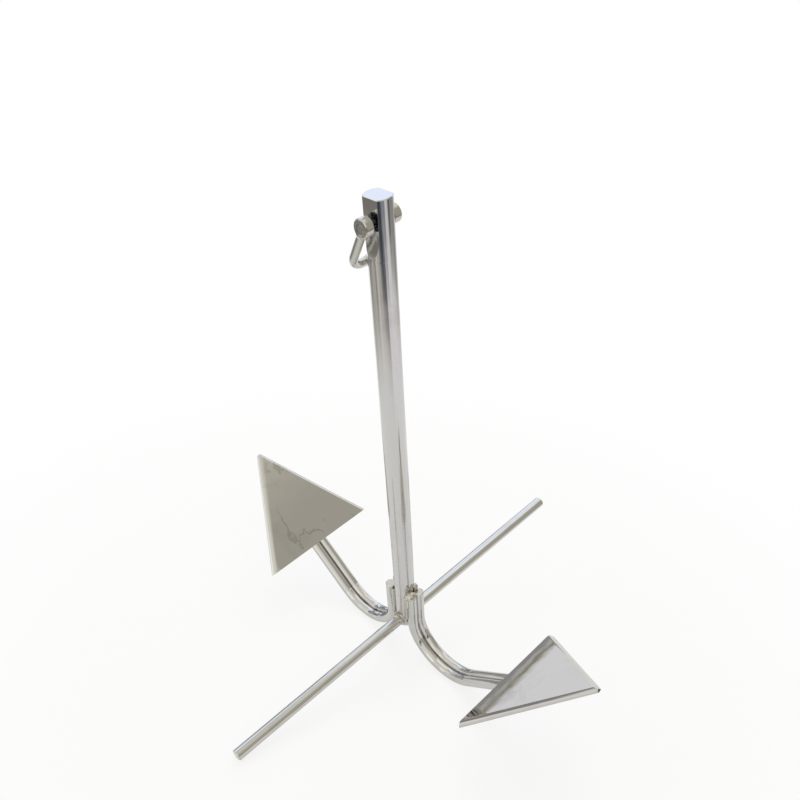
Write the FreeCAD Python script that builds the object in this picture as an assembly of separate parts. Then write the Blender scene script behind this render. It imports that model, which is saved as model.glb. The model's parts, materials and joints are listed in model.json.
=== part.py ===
import FreeCAD, Part
import math
import os

from FreeCAD import Vector

# A welded fisherman anchor of polished stainless bar and plate, in millimetres.
# It is drawn in the shank's own frame: X along the arms, Y along the stock, Z up the shank,
# with zero where the stock's axis crosses the shank's. At the end every solid is leant and
# lifted to the pose in which the anchor stands by itself, on both arms and one end of the stock.

# Shank, a solid round bar
shank_diameter = 32.0
shank_height = 681.0            # top of the shank above the stock's axis
shank_below_stock = 13.0        # bottom of the shank below the stock's axis
shank_chamfer = 0.8

# Head of the shank, milled flat on both sides for the shackle
head_width = 24.0               # across the two flats
head_flat_length = 49.0         # from the top to the middle of the run-out
head_run_out = 30.0             # length over which the round cutter left each flat
pin_drop = 26.0                 # the shackle pin's axis below the shank's top

# Stock, one straight bar through the foot of the shank
stock_diameter = 18.0
stock_length = 706.0
stock_clearance = 0.1           # around the stock in its hole
stock_chamfer = 1.0

# Arms, each of two round rods bent to a J
rod_diameter = 16.0
rod_gap = 0.3                   # between the two rods of an arm
rod_root_gap = 0.2              # between a rod and the shank, filled by the weld
rod_top = 67.0                  # cut ends of the rods above the stock's axis
rod_chamfer = 0.8
bend_radius = 71.0              # on the rod's centre line
bend_rise = 8.0                 # centre of the bend above the stock's axis
rod_under_fluke = 112.0         # length of rod that lies under the fluke

# Flukes, triangles of plate with their two long edges folded down
fluke_base = 209.0              # length of the edge that faces the shank
fluke_length = 185.0
fluke_thickness = 4.0
fluke_reach = 207.0             # base edge from the shank's axis
fluke_slope = 40.5              # degrees from the stock's level
fluke_seat_gap = 0.2            # between the plate and the rods, closed by the weld
fold_angle = 62.0               # degrees turned down from the plate
fold_inner_radius = 1.0
fold_inset = 3.0                # start of the fold inside the fluke's outline
fold_width_base = 5.0           # flat part of the fold at the base edge
fold_width_tip = 3.2            # and at the tip
lip_corner_radius = 3.0         # at the fold's free corner beside the base edge

# Shackle
bow_diameter = 10.0
bow_leg = 41.0                  # pin axis to the start of the round bend
bow_spread = 40.0               # between the centre lines of the two legs
eye_diameter = 21.0
eye_thickness = 11.0
pin_diameter = 10.0
pin_bore_clearance = 0.08       # around the pin in the shank
pin_eye_clearance = 0.05        # around the pin in the eyes
pin_chamfer = 0.5
eye_side_clearance = 0.3        # between one eye and the head's flat, where the shackle has slid to
bow_rest_clearance = 0.5        # between the hanging bow and the round of the shank it rests on

# Weld beads
bead_radius = 3.5
bead_bite = 1.5                 # how deep a bead's round form runs into what it joins
stock_bead_radius = 3.0
arm_bead_margin = 5.0           # the bead ends this far below the rods' tops
cap_radius = 9.2                # the heaped weld that caps the front rod of the near arm
cap_shift = 1.5                 # from that rod's axis towards the shank
mound_radius = 6.0              # the weld heaped on the shank above the near arm's back rod
mound_height = 5.0              # its middle above the rods' tops
mound_turn = 32.0               # degrees round the shank from the arm's own direction

shank_radius = shank_diameter / 2
stock_radius = stock_diameter / 2
rod_radius = rod_diameter / 2
rod_side = (rod_diameter + rod_gap) / 2
rod_distance = shank_radius + rod_radius + rod_root_gap
rod_x = math.sqrt(rod_distance ** 2 - rod_side ** 2)
slope = math.radians(fluke_slope)
pin_height = shank_height - pin_drop
bow_bend_radius = bow_spread / 2

# The rods' straight ends lie along the underside of the fluke. That line is one bend radius
# from the bend's centre, measured square to it, and this sets the height of the fluke.
rod_depth = fluke_thickness + fluke_seat_gap + rod_radius
bend_x = rod_x + bend_radius
line_x = fluke_reach + math.sin(slope) * rod_depth
line_z = bend_rise - (bend_radius + math.sin(slope) * (bend_x - line_x)) / math.cos(slope)
fluke_rise = line_z + math.cos(slope) * rod_depth


def resting_lean():
    """Angle about X at which the arms' lowest points and the stock's end touch one level."""
    along = stock_length / 2 - stock_chamfer - rod_side
    down = bend_rise - bend_radius + stock_radius
    return math.asin(rod_radius / math.hypot(along, down)) - math.atan2(down, along)


lean = resting_lean()
lift = rod_radius + rod_side * math.sin(lean) - (bend_rise - bend_radius) * math.cos(lean)


def stand(shape):
    """Puts a solid drawn in the shank's frame into the resting pose."""
    placed = shape.copy()
    placed.rotate(Vector(0, 0, 0), Vector(1, 0, 0), math.degrees(lean))
    placed.translate(Vector(0, 0, lift))
    return placed


def bar(start, end, radius, chamfer=0.0):
    """A round bar between two points, with both end edges broken."""
    run = end - start
    solid = Part.makeCylinder(radius, run.Length, start, run)
    if chamfer:
        rims = [edge for edge in solid.Edges if len(edge.Vertexes) == 1 and edge.Closed]
        solid = solid.makeChamfer(chamfer, rims)
    return solid


def pipe(path_edges, radius):
    """A round rod along a path of tangent edges."""
    first = path_edges[0]
    start = first.valueAt(first.FirstParameter)
    tangent = first.tangentAt(first.FirstParameter)
    section = Part.Face(Part.Wire(Part.makeCircle(radius, start, tangent)))
    return Part.Wire(path_edges).makePipe(section)


def milled_away(side_y):
    """What is milled off one side of the head: the flat, and below it the cutter's own round."""
    half = head_width / 2
    depth = shank_radius - half
    cutter_radius = (head_run_out ** 2 + depth ** 2) / (2 * depth)
    run_out_turn = math.asin(head_run_out / cutter_radius)
    flat_end = shank_height - head_flat_length + head_run_out / 2

    def on_cutter(angle):
        out = half + cutter_radius * (1 - math.cos(angle))
        return Vector(-shank_radius, side_y * out, flat_end - cutter_radius * math.sin(angle))

    start = on_cutter(0)
    end = on_cutter(2 * run_out_turn)
    above = shank_height + shank_chamfer
    corners = [end, Vector(end.x, end.y, above), Vector(start.x, start.y, above), start]
    edges = [Part.Arc(start, on_cutter(run_out_turn), end).toShape()]
    edges += [Part.LineSegment(low, high).toShape() for low, high in zip(corners, corners[1:])]
    return Part.Face(Part.Wire(edges)).extrude(Vector(shank_diameter, 0, 0))


def make_shank():
    bottom = Vector(0, 0, -shank_below_stock)
    top = Vector(0, 0, shank_height)
    shank = bar(bottom, top, shank_radius, shank_chamfer)
    shank = shank.cut([milled_away(-1), milled_away(1)])
    across = Vector(0, 1, 0)
    pin_bore_radius = pin_diameter / 2 + pin_bore_clearance
    pin_bore = Part.makeCylinder(pin_bore_radius, shank_diameter, Vector(0, -shank_radius, pin_height), across)
    stock_bore_radius = stock_radius + stock_clearance
    stock_bore = Part.makeCylinder(stock_bore_radius, shank_diameter, Vector(0, -shank_radius, 0), across)
    return shank.cut(pin_bore).cut(stock_bore)


def make_stock():
    half = stock_length / 2
    return bar(Vector(0, -half, 0), Vector(0, half, 0), stock_radius, stock_chamfer)


def make_rod(side_x, side_y):
    """One J rod: down beside the shank, round the bend and out under the fluke."""
    y = side_y * rod_side

    def at(x, z):
        return Vector(side_x * x, y, z)

    top = at(rod_x, rod_top)
    bend_start = at(rod_x, bend_rise)
    half_turn = (math.pi / 2 + slope) / 2
    bend_middle = at(bend_x - bend_radius * math.cos(half_turn), bend_rise - bend_radius * math.sin(half_turn))
    bend_end = at(bend_x + bend_radius * math.sin(slope), bend_rise - bend_radius * math.cos(slope))
    end = at(line_x + rod_under_fluke * math.cos(slope), line_z + rod_under_fluke * math.sin(slope))
    path = [
        Part.LineSegment(top, bend_start).toShape(),
        Part.Arc(bend_start, bend_middle, bend_end).toShape(),
        Part.LineSegment(bend_end, end).toShape(),
    ]
    rod = pipe(path, rod_radius)
    ends = [edge for edge in rod.Edges if abs(edge.CenterOfMass.z - rod_top) < 1e-3 and edge.Closed]
    return rod.makeChamfer(rod_chamfer, ends)


def to_fluke(shape, side_x):
    """Moves a shape from the fluke's own frame, X to the tip and Z off the face, to its place."""
    placed = shape.copy()
    placed.rotate(Vector(0, 0, 0), Vector(0, 1, 0), -fluke_slope)
    placed.translate(Vector(fluke_reach, 0, fluke_rise))
    if side_x < 0:
        placed.rotate(Vector(0, 0, 0), Vector(0, 0, 1), 180)
    return placed


def fold_strip(side_y):
    """The folded edge on one side of the fluke, in the fluke's own frame."""
    taper = math.atan2(fluke_base / 2, fluke_length)
    turn = math.radians(fold_angle)
    outer_radius = fold_inner_radius + fluke_thickness
    along = Vector(math.cos(taper), -side_y * math.sin(taper), 0)
    outward = Vector(math.sin(taper), side_y * math.cos(taper), 0)
    up = Vector(0, 0, 1)
    corner = Vector(0, side_y * (fluke_base / 2 - fold_inset / math.cos(taper)), 0)
    spare = fluke_base / 4
    edge_length = math.hypot(fluke_base / 2, fluke_length)

    def point(out, height):
        return corner - along * spare + outward * out + up * height

    def on_arc(radius, angle):
        return point(radius * math.sin(angle), radius * math.cos(angle) - outer_radius)

    down_edge = outward * math.cos(turn) - up * math.sin(turn)
    outer_end = on_arc(outer_radius, turn)
    inner_end = on_arc(fold_inner_radius, turn)
    outer_lip = outer_end + down_edge * fold_width_base
    inner_lip = inner_end + down_edge * fold_width_base
    profile = Part.Wire([
        Part.Arc(on_arc(outer_radius, 0), on_arc(outer_radius, turn / 2), outer_end).toShape(),
        Part.LineSegment(outer_end, outer_lip).toShape(),
        Part.LineSegment(outer_lip, inner_lip).toShape(),
        Part.LineSegment(inner_lip, inner_end).toShape(),
        Part.Arc(inner_end, on_arc(fold_inner_radius, turn / 2), on_arc(fold_inner_radius, 0)).toShape(),
        Part.LineSegment(on_arc(fold_inner_radius, 0), on_arc(outer_radius, 0)).toShape(),
    ])
    strip = Part.Face(profile).extrude(along * (edge_length + 2 * spare))

    # The fold narrows evenly from the base edge to the tip.
    narrowing = (fold_width_base - fold_width_tip) / edge_length
    square_to_fold = down_edge.cross(along)
    origin = outer_end + along * spare

    def on_fold(run, width):
        return origin + along * run + down_edge * width - square_to_fold * (2 * fluke_thickness)

    far = edge_length + spare
    wedge_points = [
        on_fold(0, fold_width_base),
        on_fold(far, fold_width_base - narrowing * far),
        on_fold(far, fold_width_base + spare),
        on_fold(-spare, fold_width_base + spare),
        on_fold(-spare, fold_width_base),
    ]
    wedge = Part.Face(Part.makePolygon(wedge_points + wedge_points[:1]))
    strip = strip.cut(wedge.extrude(square_to_fold * (4 * fluke_thickness)))

    # Cut off square at the base edge, mitred on the middle line and blunted at the tip.
    room = fluke_base
    keep = Part.makeBox(fluke_length, room, 2 * room)
    keep.translate(Vector(0, 0 if side_y > 0 else -room, -room))
    return strip.common(keep)


def make_fluke(side_x):
    taper = math.atan2(fluke_base / 2, fluke_length)
    half = fluke_base / 2 - fold_inset / math.cos(taper)
    flat_length = fluke_length - fold_inset / math.sin(taper)
    outline = [Vector(0, -half, 0), Vector(flat_length, 0, 0), Vector(0, half, 0), Vector(0, -half, 0)]
    plate = Part.Face(Part.makePolygon(outline)).extrude(Vector(0, 0, -fluke_thickness))
    fluke = plate.fuse([fold_strip(1), fold_strip(-1)]).removeSplitter()
    lip_corners = []
    for side_y in (-1, 1):
        ends = [edge for edge in fluke.Edges if max(abs(corner.X) for corner in edge.Vertexes) < 1e-6]
        ends = [edge for edge in ends if edge.CenterOfMass.y * side_y > 0]
        lip_corners.append(min(ends, key=lambda edge: edge.CenterOfMass.z))
    return to_fluke(fluke.makeFillet(lip_corner_radius, lip_corners), side_x)


def crossing(centre_1, radius_1, centre_2, radius_2, pick):
    """The point at two given distances from two centres, on the side that pick names."""
    dx = centre_2[0] - centre_1[0]
    dy = centre_2[1] - centre_1[1]
    gap = math.hypot(dx, dy)
    along = (radius_1 ** 2 - radius_2 ** 2 + gap ** 2) / (2 * gap)
    across = math.sqrt(radius_1 ** 2 - along ** 2)
    x = centre_1[0] + (along * dx - pick * across * dy) / gap
    y = centre_1[1] + (along * dy + pick * across * dx) / gap
    return x, y


def make_arm_weld(side_x, neighbours, heaped):
    """Beads along both outer corners between the rods and the shank, and heaps over their tops."""
    reach = bead_radius - bead_bite
    beads = []
    for side_y in (-1, 1):
        rod_place = (side_x * rod_x, side_y * rod_side)
        x, y = crossing((0, 0), shank_radius + reach, rod_place, rod_radius + reach, side_x * side_y)
        beads.append(bar(Vector(x, y, bend_rise), Vector(x, y, rod_top - arm_bead_margin), bead_radius))
    if heaped:
        # The spheres' poles lie along the arm, where their seams stay clear of the cuts.
        along_arm = Vector(side_x, 0, 0)
        cap_place = Vector(side_x * (rod_x - cap_shift), -rod_side, rod_top)
        beads.append(Part.makeSphere(cap_radius, cap_place, along_arm))
        turn = math.radians(mound_turn)
        mound_x = side_x * shank_radius * math.cos(turn)
        mound_y = shank_radius * math.sin(turn)
        mound_place = Vector(mound_x, mound_y, rod_top + mound_height)
        beads.append(Part.makeSphere(mound_radius, mound_place, along_arm))
    weld = beads[0].multiFuse(beads[1:])
    return weld.cut(neighbours)


def make_stock_weld(stock, shank):
    """A ring of weld round the stock on each side of the shank."""
    rings = []
    for side_y in (-1, 1):
        centre = Vector(0, side_y * (shank_radius - stock_bead_radius / 2), 0)
        ring_radius = stock_radius + stock_bead_radius / 2
        rings.append(Part.makeTorus(ring_radius, stock_bead_radius, centre, Vector(0, 1, 0)))
    return Part.makeCompound(rings).cut([stock, shank])


def make_fluke_weld(side_x, fluke, rods):
    """A bead along the outer side of each rod, under the fluke."""
    reach = bead_radius - bead_bite
    height = -fluke_thickness - reach
    drop = rod_depth + height
    away = rod_side + math.sqrt((rod_radius + reach) ** 2 - drop ** 2)
    beads = []
    for side_y in (-1, 1):
        start = Vector(bead_radius, side_y * away, height)
        end = Vector(rod_under_fluke - bead_radius, side_y * away, height)
        beads.append(to_fluke(bar(start, end, bead_radius), side_x))
    return Part.makeCompound(beads).cut([fluke] + rods)


bow_slide = head_width / 2 + eye_side_clearance - (bow_spread - eye_thickness) / 2


def bow_rest_angle():
    """Degrees from the shank at which the hanging bow rests on it, by its leg or its crossbar."""
    reach = shank_radius + bow_diameter / 2 + bow_rest_clearance
    leg_y = bow_slide + bow_spread / 2
    leg_x = math.sqrt(max(0.0, reach ** 2 - leg_y ** 2))
    leg_angle = math.atan2(leg_x, head_flat_length - pin_drop)
    bar_angle = math.asin(reach / (bow_leg + bow_bend_radius))
    return math.degrees(max(leg_angle, bar_angle))


def to_shackle(shape):
    """Hangs a shackle part, drawn pointing down from the pin, at its resting angle."""
    placed = shape.copy()
    placed.rotate(Vector(0, 0, 0), Vector(0, 1, 0), bow_rest_angle())
    placed.translate(Vector(0, bow_slide, pin_height))
    return placed


def make_bow():
    half = bow_spread / 2
    left = Vector(0, -half, -bow_leg)
    right = Vector(0, half, -bow_leg)
    path = [
        Part.LineSegment(Vector(0, -half, 0), left).toShape(),
        Part.Arc(left, Vector(0, 0, -bow_leg - bow_bend_radius), right).toShape(),
        Part.LineSegment(right, Vector(0, half, 0)).toShape(),
    ]
    bow = pipe(path, bow_diameter / 2)
    across = Vector(0, 1, 0)
    eyes = []
    for y in (-half, half):
        eyes.append(Part.makeCylinder(eye_diameter / 2, eye_thickness, Vector(0, y - eye_thickness / 2, 0), across))
    bow = bow.fuse(eyes)
    width = bow_spread + eye_thickness
    hole_radius = pin_diameter / 2 + pin_eye_clearance
    hole = Part.makeCylinder(hole_radius, width, Vector(0, -width / 2, 0), across)
    return to_shackle(bow.cut(hole).removeSplitter())


def make_pin():
    half = (bow_spread + eye_thickness) / 2
    return to_shackle(bar(Vector(0, -half, 0), Vector(0, half, 0), pin_diameter / 2, pin_chamfer))


def build():
    shank = make_shank()
    stock = make_stock()
    stock_weld = make_stock_weld(stock, shank)
    nodes = {"shank": shank, "stock": stock, "stock_weld": stock_weld}
    for name, side_x in (("near", 1), ("far", -1)):
        front = make_rod(side_x, -1)
        back = make_rod(side_x, 1)
        fluke = make_fluke(side_x)
        nodes[name + "_arm_front_rod"] = front
        nodes[name + "_arm_back_rod"] = back
        nodes[name + "_fluke"] = fluke
        nodes[name + "_arm_weld"] = make_arm_weld(side_x, [front, back, shank, stock_weld], side_x > 0)
        nodes[name + "_fluke_weld"] = make_fluke_weld(side_x, fluke, [front, back])
    nodes["shackle_bow"] = make_bow()
    nodes["shackle_pin"] = make_pin()
    return {name: stand(shape) for name, shape in nodes.items()}


os.makedirs("parts", exist_ok=True)
for name, shape in build().items():
    shape.exportStep("parts/" + name + ".step")
    print(name, len(shape.Solids), "solid", round(shape.Volume), "mm3", "valid" if shape.isValid() else "INVALID")
print("lean", round(math.degrees(lean), 3), "degrees, stock axis", round(lift, 3), "mm up")
print("bow rests at", round(bow_rest_angle(), 3), "degrees from the shank")
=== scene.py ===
import json
import math
import bpy
import bmesh
import numpy as np
from mathutils import Matrix


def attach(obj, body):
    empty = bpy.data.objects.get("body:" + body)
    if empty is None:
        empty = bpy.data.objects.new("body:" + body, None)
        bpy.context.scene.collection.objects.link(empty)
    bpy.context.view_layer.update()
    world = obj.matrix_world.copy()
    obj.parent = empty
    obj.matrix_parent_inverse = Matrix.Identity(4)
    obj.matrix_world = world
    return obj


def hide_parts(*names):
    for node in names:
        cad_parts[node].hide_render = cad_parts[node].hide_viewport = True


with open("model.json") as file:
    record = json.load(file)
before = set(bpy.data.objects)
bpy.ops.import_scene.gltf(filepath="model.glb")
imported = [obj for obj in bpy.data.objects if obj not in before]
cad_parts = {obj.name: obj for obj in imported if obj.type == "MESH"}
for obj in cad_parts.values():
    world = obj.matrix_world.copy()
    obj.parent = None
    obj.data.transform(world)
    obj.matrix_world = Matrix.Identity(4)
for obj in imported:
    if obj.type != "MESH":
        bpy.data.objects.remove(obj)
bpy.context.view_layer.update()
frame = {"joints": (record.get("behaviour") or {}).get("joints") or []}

# A welded fisherman anchor of polished stainless bar and plate. Every shape is worked out in the
# anchor's own frame, in millimetres: X along the arms, Y along the stock, Z up the shank, and zero
# where the stock's axis crosses the shank's. standUp then leans and lifts it onto the ground.

shackleSwing = frame["joints"][0]
mm = 0.001

shankBar = {
    "radius": 16.0,
    "height": 681.0,        # top of the shank above the stock's axis
    "foot": 13.0,           # bottom of the shank below it
    "chamfer": 0.8,
    "halfFlat": 12.0,       # the head's flats lie this far from the middle
    "flatLength": 49.0,
    "runOut": 30.0,         # over this length the cutter left each flat
    "flatChamfer": 0.35,
    "pinDrop": 26.0,        # the pin's axis below the top
    "pinBore": 5.08,        # radii of the two bores
    "stockBore": 9.1,
    "arcPoints": 91,        # along each round side and each flat of a ring
    "flatPoints": 14,
    "plainRings": 150,      # up the plain length, the run-out and the flats
    "runOutRings": 24,
    "flatRings": 23,
    "borePoints": 128,
}

pinHeight = shankBar["height"] - shankBar["pinDrop"]
alongX, alongY = (1.0, 0.0, 0.0), (0.0, 1.0, 0.0)

alongStock = np.array(shackleSwing["axis"], float)
alongStock /= np.linalg.norm(alongStock)
alongArms = np.array([1.0, 0.0, 0.0])
upShank = np.cross(alongArms, alongStock)
crown = np.array(shackleSwing["pos_m"], float) - upShank * pinHeight * mm
turn = np.stack([alongArms, alongStock, upShank])
lean = math.atan2(alongStock[2], alongStock[1])


# From the anchor's own frame to the ground's: turned by the lean, lifted, and in metres.
def standUp(points):
    return crown + (np.asarray(points, float) * mm) @ turn


# Quads between neighbouring rows and columns of a grid whose columns close on themselves.
def ringQuads(rows, columns, first):
    place = first + np.arange(rows * columns).reshape(rows, columns)
    nextColumn = np.roll(place, -1, axis=1)
    return np.stack([place[:-1], nextColumn[:-1], nextColumn[1:], place[1:]], axis=-1).reshape(-1, 4)


# A circle about each point of a path: point + radius * (cos a * one direction + sin a * the other).
# A direction may be the same for all points.
def tube(path, oneWay, otherWay, radii, count=96):
    angle = np.linspace(0.0, 2 * math.pi, count, endpoint=False)[:, None]
    oneWay, otherWay = (np.broadcast_to(way, path.shape)[:, None, :] for way in (oneWay, otherWay))
    across = np.cos(angle) * oneWay + np.sin(angle) * otherWay
    return path[:, None, :] + np.asarray(radii, float)[:, None, None] * across


# A straight turned bar: circles at given stations along one axis.
def turned(start, axis, stations, radii, count=96):
    axis = np.asarray(axis, float)
    helper = np.array([0.0, 0.0, 1.0]) if abs(axis[2]) < 0.9 else np.array([1.0, 0.0, 0.0])
    oneWay = np.cross(helper, axis)
    oneWay /= np.linalg.norm(oneWay)
    otherWay = np.cross(axis, oneWay)
    stations = np.asarray(stations, float)
    path = np.asarray(start, float) + stations[:, None] * axis
    return tube(path, oneWay, otherWay, radii, count)


# Puts closed-column grids into one mesh, with their two end rings closed by flat faces.
def ringMesh(name, grids, looped=False):
    points, faces, first = [], [], 0
    for grid in grids:
        rows, columns = grid.shape[:2]
        points.append(grid.reshape(-1, 3))
        faces += ringQuads(rows, columns, first).tolist()
        if not looped:
            faces.append(list(range(first, first + columns))[::-1])
            faces.append(list(range(first + (rows - 1) * columns, first + rows * columns)))
        first += rows * columns
    mesh = bpy.data.meshes.new(name)
    mesh.from_pydata(np.concatenate(points).tolist(), [], faces)
    return mesh


# The same for grids in the anchor's own frame, stood on the ground.
def standingMesh(name, grids, looped=False):
    return ringMesh(name, [standUp(grid) for grid in grids], looped)


# Stores where each point lies on its bar as if the bar were straight: two ways across, then along.
def setGrain(mesh, across, other, along):
    values = np.stack([across, other, along], axis=-1) * mm
    grain = mesh.attributes.new("grain", "FLOAT_VECTOR", "POINT")
    grain.data.foreach_set("vector", values.ravel())


# Stores how far each point of a rod lies inside its bend, from 0 to 1.
def setBent(mesh, values):
    bent = mesh.attributes.new("bent", "FLOAT", "POINT")
    bent.data.foreach_set("value", np.asarray(values, float).ravel())


# The points of a mesh, and those of a standing mesh back in the anchor's own frame.
def meshPoints(mesh):
    place = np.zeros(len(mesh.vertices) * 3)
    mesh.vertices.foreach_get("co", place)
    return place.reshape(-1, 3)


def ownPoints(mesh):
    return ((meshPoints(mesh) - crown) / mm) @ turn.T


# Merges doubled points, fills what is left open, and turns every face outwards.
def cleanMesh(mesh, fill=False):
    bm = bmesh.new()
    bm.from_mesh(mesh)
    bmesh.ops.remove_doubles(bm, verts=bm.verts, dist=2e-6)
    bmesh.ops.dissolve_degenerate(bm, edges=bm.edges, dist=1e-7)
    if fill:
        bmesh.ops.holes_fill(bm, edges=[e for e in bm.edges if e.is_boundary], sides=0)
    bmesh.ops.recalc_face_normals(bm, faces=bm.faces)
    bm.to_mesh(mesh)
    bm.free()


# A new object in the scene.
def addObject(name, data):
    made = bpy.data.objects.new(name, data)
    bpy.context.scene.collection.objects.link(made)
    return made


# Makes a finished mesh the piece that stands for one CAD node.
def addPiece(name, mesh, node, body, sharpAngle=20.0):
    mesh.shade_smooth()
    mesh.set_sharp_from_angle(angle=math.radians(sharpAngle))
    piece = addObject(name, mesh)
    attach(piece, body)
    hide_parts(node)
    return piece


# Cuts round bores through a mesh and returns the cut mesh.
def cutBores(mesh, cutters):
    body = addObject("blank", mesh)
    tools = []
    for grid in cutters:
        toolMesh = standingMesh("cutter", [grid])
        cleanMesh(toolMesh)
        tool = addObject("cutter", toolMesh)
        tools.append(tool)
        bore = body.modifiers.new("bore", "BOOLEAN")
        bore.operation = "DIFFERENCE"
        bore.solver = "EXACT"
        bore.object = tool
    evaluated = body.evaluated_get(bpy.context.evaluated_depsgraph_get())
    cut = bpy.data.meshes.new_from_object(evaluated)
    for thing in tools + [body]:
        bpy.data.objects.remove(thing)
    return cut


# One level of the shank: two arcs of its circle and two straight lines across its flats. Where
# the flats have no depth the lines shrink to a point.
def shankRing(height, radius, half):
    corner = math.asin(min(half / radius, 1.0))
    arc = np.linspace(-corner, corner, shankBar["arcPoints"])
    line = np.linspace(1.0, -1.0, shankBar["flatPoints"] + 2)[1:-1] * radius * math.cos(corner)
    x = np.concatenate([radius * np.cos(arc), line, -radius * np.cos(arc), -line])
    flat = np.full(len(line), min(half, radius))
    y = np.concatenate([radius * np.sin(arc), flat, -radius * np.sin(arc), -flat])
    return np.stack([x, y, np.full(len(x), height)], axis=-1)


# The shank: rings up its length. Each flat runs out over an arc, as deep as the round cutter
# that milled it stood in the bar there. The two bores are cut last.
def makeShank():
    bar = shankBar
    radius, half, runOut = bar["radius"], bar["halfFlat"], bar["runOut"]
    depth = radius - half
    cutter = (runOut ** 2 + depth ** 2) / (2 * depth)
    flatStart = bar["height"] - bar["flatLength"] - runOut / 2
    plain = np.linspace(bar["chamfer"] - bar["foot"], flatStart, bar["plainRings"])
    milled = np.linspace(flatStart + runOut, bar["height"] - bar["chamfer"], bar["flatRings"] + 1)[1:]
    rings = [shankRing(-bar["foot"], radius - bar["chamfer"], radius)]
    rings += [shankRing(z, radius, radius) for z in plain]
    for share in np.linspace(0.0, 1.0, bar["runOutRings"] + 1)[1:]:
        rise = cutter - math.sqrt(cutter ** 2 - ((1.0 - share) * runOut) ** 2)
        rings.append(shankRing(flatStart + share * runOut, radius, half + rise))
    rings += [shankRing(z, radius, half) for z in milled]
    rings.append(shankRing(bar["height"], radius - bar["chamfer"], half - bar["flatChamfer"]))
    mesh = standingMesh("shankBar", [np.stack(rings)])
    cleanMesh(mesh)
    reach = 2 * radius
    bores = []
    for height, bore in ((pinHeight, bar["pinBore"]), (0.0, bar["stockBore"])):
        start = (0.0, -reach, height)
        bores.append(turned(start, alongY, (0.0, 2 * reach), (bore, bore), bar["borePoints"]))
    mesh = cutBores(mesh, bores)
    mesh.name = "shankBar"
    x, y, z = ownPoints(mesh).T
    setGrain(mesh, x, y, z)
    return addPiece("shankBar", mesh, "shank", "anchor")


stockBar = {"radius": 9.0, "length": 706.0, "chamfer": 1.0, "rings": 120}


# The stock: one long turned bar with both rims broken.
def makeStock():
    bar = stockBar
    chamfer = bar["chamfer"]
    inner = np.linspace(chamfer, bar["length"] - chamfer, bar["rings"])
    stations = np.concatenate([[0.0], inner, [bar["length"]]])
    radii = np.full(len(stations), bar["radius"])
    radii[[0, -1]] -= chamfer
    mesh = standingMesh("stockBar", [turned((0, -bar["length"] / 2, 0), alongY, stations, radii)])
    cleanMesh(mesh)
    x, y, z = ownPoints(mesh).T
    setGrain(mesh, x, z, y)
    return addPiece("stockBar", mesh, "stock", "anchor")


armRod = {
    "radius": 8.0,
    "side": 8.15,           # centre of each rod from the arm's middle plane
    "rootDistance": 24.2,   # from the shank's axis to a rod's axis
    "top": 67.0,            # the rods' cut tops above the stock's axis
    "chamfer": 0.8,
    "bendRadius": 71.0,
    "bendRise": 8.0,        # the bend's centre above the stock's axis
    "underFluke": 112.0,    # how far a rod runs on under the fluke
    "depth": 12.2,          # the rods' axes below the fluke's upper face
    "downRings": 23,        # down to the bend, round it, and up the slope
    "bendRings": 72,
    "slopeRings": 59,
}
flukePlate = {
    "base": 209.0,
    "length": 185.0,
    "thickness": 4.0,
    "reach": 207.0,         # from the shank's axis to the middle of the fluke's base
    "slope": math.radians(40.5),
    "foldAngle": math.radians(62.0),
    "foldInnerRadius": 1.0,
    "foldSoftness": 2.5,    # the outside of the bend is this much rounder than its tight core
    "foldInset": 3.0,
    "foldWidthBase": 5.0,
    "foldWidthTip": 3.2,
    "lipCorner": 3.0,
    "edgeSoftness": 0.35,   # the polished-down edges of the plate
    "faceRows": 36,         # rows of the section over the face, round the fold's outside and inside,
    "outsideRows": 17,      # and round each edge
    "insideRows": 8,
    "edgeRows": 5,
    "columns": 72,          # points of each row along the fold
}

rodX = math.sqrt(armRod["rootDistance"] ** 2 - armRod["side"] ** 2)
slope = flukePlate["slope"]
bendX = rodX + armRod["bendRadius"]
lineX = flukePlate["reach"] + math.sin(slope) * armRod["depth"]
lineZ = armRod["bendRise"] - (armRod["bendRadius"] + math.sin(slope) * (bendX - lineX)) / math.cos(slope)
flukeRise = lineZ + math.cos(slope) * armRod["depth"]


# The centre line of a J rod: straight down, round one arc, then straight up the fluke's slope. With
# it go the way to the inside of the bend, and how far each point lies inside it.
def rodPath(side, row):
    radius = armRod["bendRadius"]
    sweep = math.pi / 2 + slope
    arc = np.linspace(0.0, sweep, armRod["bendRings"])
    down = np.linspace(armRod["top"], armRod["bendRise"], armRod["downRings"] + 1)[:-1]
    endX = lineX + armRod["underFluke"] * math.cos(slope)
    endZ = lineZ + armRod["underFluke"] * math.sin(slope)
    arcX = bendX - radius * np.cos(arc)
    arcZ = armRod["bendRise"] - radius * np.sin(arc)
    up = np.linspace(0.0, 1.0, armRod["slopeRings"] + 1)[1:]
    x = np.concatenate([np.full(len(down), rodX), arcX, arcX[-1] + up * (endX - arcX[-1])])
    z = np.concatenate([down, arcZ, arcZ[-1] + up * (endZ - arcZ[-1])])
    heading = np.concatenate([np.zeros(len(down)), arc, np.full(len(up), sweep)])
    bent = np.concatenate([np.zeros(len(down)), np.sin(math.pi * arc / sweep) ** 0.5, np.zeros(len(up))])
    path = np.stack([side * x, np.full(len(x), row * armRod["side"]), z], axis=-1)
    inward = np.stack([side * np.cos(heading), np.zeros(len(x)), np.sin(heading)], axis=-1)
    return path, inward, bent


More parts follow.
